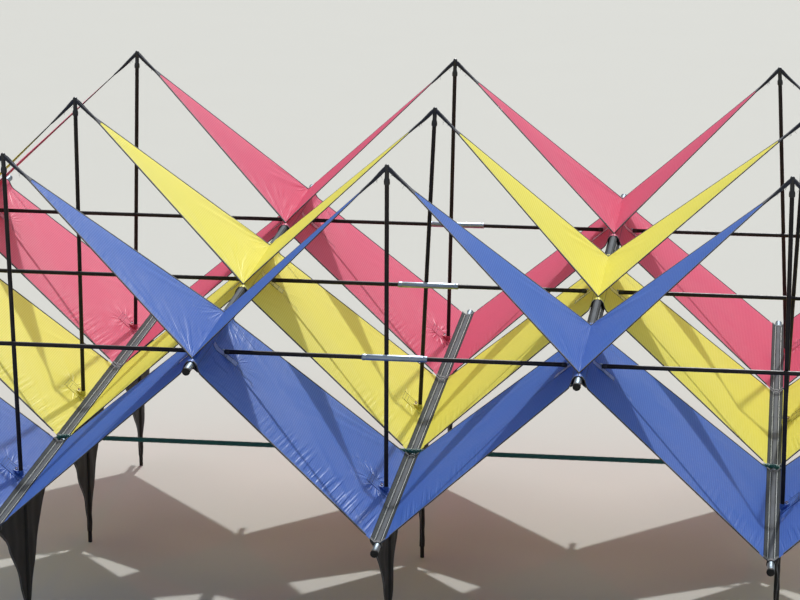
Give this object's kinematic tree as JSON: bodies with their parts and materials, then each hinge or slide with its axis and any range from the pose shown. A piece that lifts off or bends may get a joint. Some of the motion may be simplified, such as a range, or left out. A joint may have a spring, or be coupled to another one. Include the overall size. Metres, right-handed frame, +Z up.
{
  "type": "cellular box kite",
  "caption": "Cellular box kite in bays: three rows of cloth diamonds on shared tubes, standing on its keel fins and spars.",
  "frame": {"origin": "on the ground under the middle of the kite, the centre of its box's bottom face", "axes": "+X along the bays, +Y from the blue front row to the pink back row, +Z up"},
  "size_m": [2.5526, 1.894, 1.139],
  "materials": {
    "blue_ripstop": "thin ripstop nylon, satin",
    "yellow_ripstop": "thin ripstop nylon, satin",
    "pink_ripstop": "thin ripstop nylon, satin",
    "hem_tape": "woven edge tape, matte",
    "black_fin_cloth": "black ripstop, matte",
    "dark_spar": "pultruded composite tube, satin",
    "ferrule_metal": "drawn tube, bright satin",
    "black_rubber": "moulded, satin",
    "black_webbing": "woven webbing, matte",
    "longeron_metal": "drawn tube, dulled",
    "black_plastic": "moulded, gloss",
    "grey_plastic": "moulded, matte",
    "sleeve_cloth": "heavy polyester sleeve, stitched",
    "green_rope": "braided rope, semi-gloss"
  },
  "bodies": {
    "root": {"front_lower_sheets": "blue_ripstop", "front_upper_sheets": "blue_ripstop", "front_hems": "hem_tape", "front_keel_fins": "black_fin_cloth", "front_keel_spars": "dark_spar", "front_masts": "dark_spar", "front_cross_spars": "dark_spar", "front_ferrules": "ferrule_metal", "front_tip_caps": "black_rubber", "front_mast_pockets": "blue_ripstop", "front_spar_pockets": "blue_ripstop", "middle_lower_sheets": "yellow_ripstop", "middle_upper_sheets": "yellow_ripstop", "middle_hems": "hem_tape", "middle_keel_fins": "black_fin_cloth", "middle_keel_spars": "dark_spar", "middle_masts": "dark_spar", "middle_cross_spars": "dark_spar", "middle_ferrules": "ferrule_metal", "middle_tip_caps": "black_rubber", "middle_mast_pockets": "yellow_ripstop", "middle_spar_pockets": "yellow_ripstop", "back_lower_sheets": "pink_ripstop", "back_upper_sheets": "pink_ripstop", "back_hems": "hem_tape", "back_keel_fins": "black_fin_cloth", "back_keel_spars": "dark_spar", "back_masts": "dark_spar", "back_cross_spars": "dark_spar", "back_ferrules": "ferrule_metal", "back_tip_caps": "black_rubber", "back_mast_pockets": "pink_ripstop", "back_spar_pockets": "pink_ripstop", "tip_webbings": "black_webbing", "bottom_longerons": "longeron_metal", "side_longerons": "longeron_metal", "front_end_caps": "black_plastic", "back_end_caps": "grey_plastic", "bottom_sleeves": "sleeve_cloth", "side_sleeves": "sleeve_cloth", "anchor_rope": "green_rope"}
  },
  "joints": []
}
